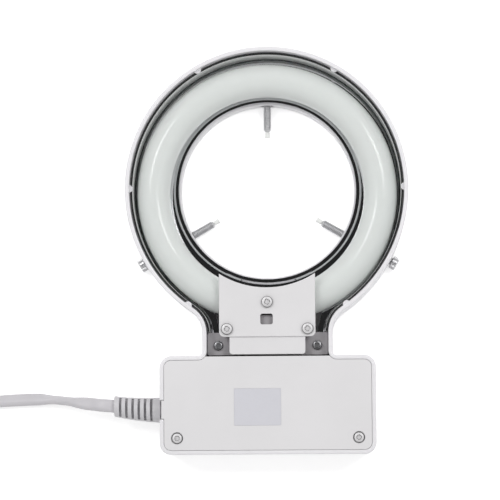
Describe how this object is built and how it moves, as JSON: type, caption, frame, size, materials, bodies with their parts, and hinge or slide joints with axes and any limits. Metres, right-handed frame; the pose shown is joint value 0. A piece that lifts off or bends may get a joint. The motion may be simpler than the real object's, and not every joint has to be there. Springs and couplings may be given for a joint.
{
  "type": "microscope ring light",
  "caption": "Keyhole-shaped fluorescent ring light for a stereo microscope, with a ballast box, clamping thumbscrews, a rocker switch and a mains cord.",
  "frame": {"origin": "under the middle of the light without its cord, on the plane of its back", "axes": "+Z from the back to the lamp side, +Y from the ballast box to the ring, +X to the right as the lamp side is seen"},
  "size_m": [0.3066, 0.1924, 0.0314],
  "materials": {
    "black_plastic": "black plastic",
    "board_green": "green circuit board",
    "brass": "turned brass",
    "cord_grey": "pale grey cord jacket",
    "dark_screw": "blackened steel",
    "ferrite": "dark ferrite and winding",
    "film_red": "dark red film capacitor",
    "grey_holder": "dark grey moulded plastic",
    "label_paper": "blank pale grey label",
    "lamp_glass": "white phosphor-coated glass, satin",
    "nylon": "natural nylon",
    "reflector_metal": "bright reflector sheet",
    "relief_grey": "pale grey flexible plastic",
    "screw_steel": "bright plated steel",
    "white_cover": "smooth white plastic, a little greyer",
    "white_housing": "smooth moulded white plastic",
    "wire_brown": "brown wire jacket",
    "wire_white": "white wire jacket"
  },
  "bodies": {
    "light": {"ballast_board": "board_green", "board_screw_1": "screw_steel", "board_screw_2": "screw_steel", "box_cover": "white_cover", "choke": "ferrite", "clamp_screw_1": "screw_steel", "clamp_screw_2": "screw_steel", "cord_clamp": "black_plastic", "cord_coil": "cord_grey", "cord_jacket_end": "cord_grey", "cord_lead": "cord_grey", "cord_tail": "cord_grey", "cover_screw_left": "screw_steel", "cover_screw_right": "screw_steel", "ear_screw_left": "dark_screw", "ear_screw_right": "dark_screw", "film_capacitor_1": "film_red", "film_capacitor_2": "film_red", "fuse": "board_green", "housing": "white_housing", "label": "label_paper", "lamp_base": "white_cover", "lamp_holder": "grey_holder", "lamp_pin_1": "brass", "lamp_pin_2": "brass", "lamp_pin_3": "brass", "lamp_pin_4": "brass", "lamp_tube": "lamp_glass", "lamp_wire_1": "wire_white", "lamp_wire_2": "wire_white", "lamp_wire_3": "wire_white", "lamp_wire_4": "wire_white", "mains_wire_board": "wire_white", "mains_wire_switch": "wire_brown", "plate_screw_left": "screw_steel", "plate_screw_middle": "screw_steel", "plate_screw_right": "screw_steel", "plug_body": "relief_grey", "plug_pin_left": "screw_steel", "plug_pin_right": "screw_steel", "reflector": "reflector_metal", "reservoir_capacitor": "black_plastic", "retaining_plate": "white_cover", "strain_relief": "relief_grey", "switch_body": "black_plastic", "switch_terminal_1": "brass", "switch_terminal_2": "brass", "switch_wire_board": "wire_brown", "threaded_insert_left": "brass", "threaded_insert_right": "brass", "threaded_insert_top": "brass", "transistor_1": "black_plastic", "transistor_2": "black_plastic"},
    "top_screw_end": {"screw_tip_top": "nylon"},
    "top_screw": {"thumbscrew_top": "screw_steel"},
    "left_screw_end": {"screw_tip_left": "nylon"},
    "left_screw": {"thumbscrew_left": "screw_steel"},
    "right_screw_end": {"screw_tip_right": "nylon"},
    "right_screw": {"thumbscrew_right": "screw_steel"},
    "rocker": {"switch_rocker": "black_plastic"}
  },
  "joints": [
    {"name": "top_screw_feed", "type": "slide", "parent": "light", "child": "top_screw_end", "axis": [0, 1, 0], "range_m": [0, 0.0147]},
    {"name": "top_screw_turn", "type": "hinge", "parent": "top_screw_end", "child": "top_screw", "pos_m": [0, 0.0529, 0.0046], "axis": [0, 1, 0], "range_deg": [0, 7560]},
    {"name": "left_screw_feed", "type": "slide", "parent": "light", "child": "left_screw_end", "axis": [-0.866, -0.5, 0], "range_m": [0, 0.0147]},
    {"name": "left_screw_turn", "type": "hinge", "parent": "left_screw_end", "child": "left_screw", "pos_m": [-0.02298, 0.01393, 0.0046], "axis": [-0.866, -0.5, 0], "range_deg": [0, 7560]},
    {"name": "right_screw_feed", "type": "slide", "parent": "light", "child": "right_screw_end", "axis": [0.866, -0.5, 0], "range_m": [0, 0.0147]},
    {"name": "right_screw_turn", "type": "hinge", "parent": "right_screw_end", "child": "right_screw", "pos_m": [0.02298, 0.01393, 0.0046], "axis": [0.866, -0.5, 0], "range_deg": [0, 7560]},
    {"name": "switch_rock", "type": "hinge", "parent": "light", "child": "rocker", "pos_m": [-0.028, -0.0858, 0.0045], "axis": [0, -1, 0], "range_deg": [0, 18]}
  ],
  "couplings": [
    {"joint": "top_screw_turn", "follows": "top_screw_feed", "rad_per_m": 8976},
    {"joint": "left_screw_turn", "follows": "left_screw_feed", "rad_per_m": 8976},
    {"joint": "right_screw_turn", "follows": "right_screw_feed", "rad_per_m": 8976}
  ]
}
